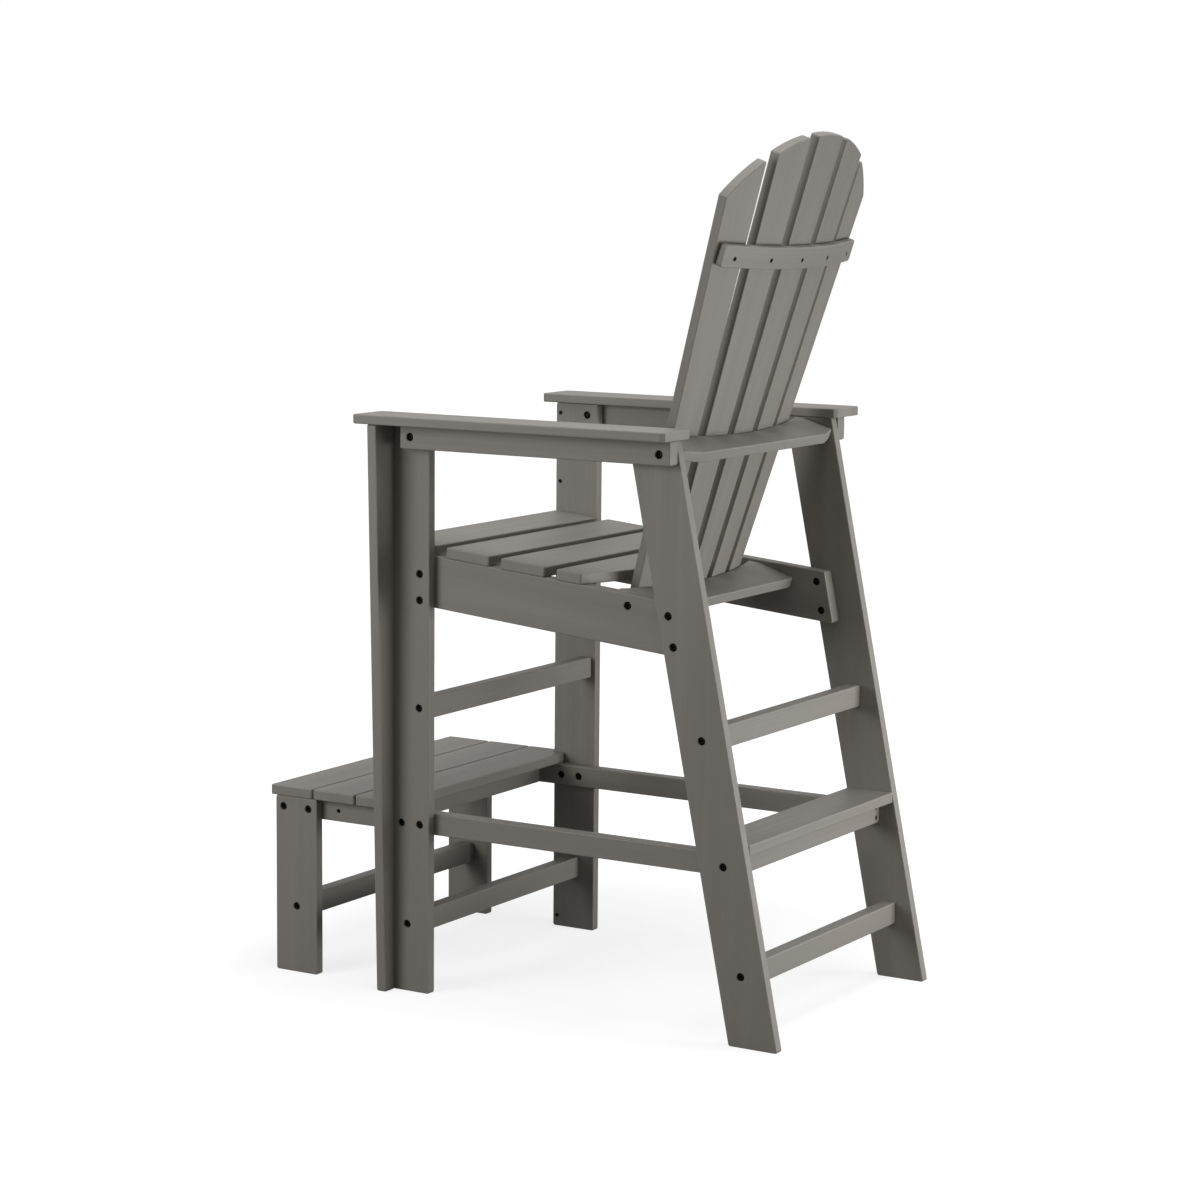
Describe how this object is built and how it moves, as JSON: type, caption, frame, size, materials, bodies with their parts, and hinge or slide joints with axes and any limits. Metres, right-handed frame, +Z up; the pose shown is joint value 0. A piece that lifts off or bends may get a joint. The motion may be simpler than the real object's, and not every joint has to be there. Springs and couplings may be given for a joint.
{
  "type": "lifeguard chair",
  "caption": "Raised outdoor armchair of flat plastic lumber with a fan-shaped slatted back, a footrest platform in front and a ladder behind.",
  "frame": {"origin": "middle of the footprint on the floor", "axes": "+Z up, the sitter faces -Y, the sitter's left is +X"},
  "size_m": [0.692, 1.0208, 1.4843],
  "materials": {
    "lumber": "warm grey solid plastic board with a faint brushed grain and eased edges",
    "bolt_steel": "plain steel, deep in dark recesses"
  },
  "bodies": {
    "root": {"front_leg_left": "lumber", "front_leg_right": "lumber", "arm_bracket_left": "lumber", "arm_bracket_right": "lumber", "rear_leg_left": "lumber", "rear_leg_right": "lumber", "arm_left": "lumber", "arm_right": "lumber", "arm_rail_left": "lumber", "arm_rail_right": "lumber", "upper_front_stretcher": "lumber", "lower_front_stretcher": "lumber", "platform_stretcher": "lumber", "upper_ladder_rung": "lumber", "lower_ladder_rung": "lumber", "tread_support": "lumber", "low_side_rail_left": "lumber", "low_side_rail_right": "lumber", "platform_leg_left": "lumber", "platform_leg_right": "lumber", "front_platform_apron": "lumber", "middle_platform_apron": "lumber", "rear_platform_apron": "lumber", "platform_slat_1": "lumber", "platform_slat_2": "lumber", "platform_slat_3": "lumber", "ladder_tread": "lumber", "seat_apron": "lumber", "seat_rail_left": "lumber", "seat_rail_right": "lumber", "seat_slat_1": "lumber", "seat_slat_2": "lumber", "seat_slat_3": "lumber", "seat_slat_4": "lumber", "back_slat_1": "lumber", "back_slat_2": "lumber", "back_slat_3": "lumber", "back_slat_4": "lumber", "back_slat_5": "lumber", "upper_back_support": "lumber", "lower_back_support": "lumber", "back_batten": "lumber", "seat_bolt_left_1": "bolt_steel", "seat_bolt_left_2": "bolt_steel", "seat_bolt_left_3": "bolt_steel", "seat_bolt_left_4": "bolt_steel", "seat_bolt_right_1": "bolt_steel", "seat_bolt_right_2": "bolt_steel", "seat_bolt_right_3": "bolt_steel", "seat_bolt_right_4": "bolt_steel", "low_rail_bolt_left_1": "bolt_steel", "low_rail_bolt_left_2": "bolt_steel", "low_rail_bolt_right_1": "bolt_steel", "low_rail_bolt_right_2": "bolt_steel", "platform_bolt_left_1": "bolt_steel", "platform_bolt_right_1": "bolt_steel", "arm_rail_bolt_left_1": "bolt_steel", "arm_rail_bolt_right_1": "bolt_steel"}
  },
  "joints": []
}
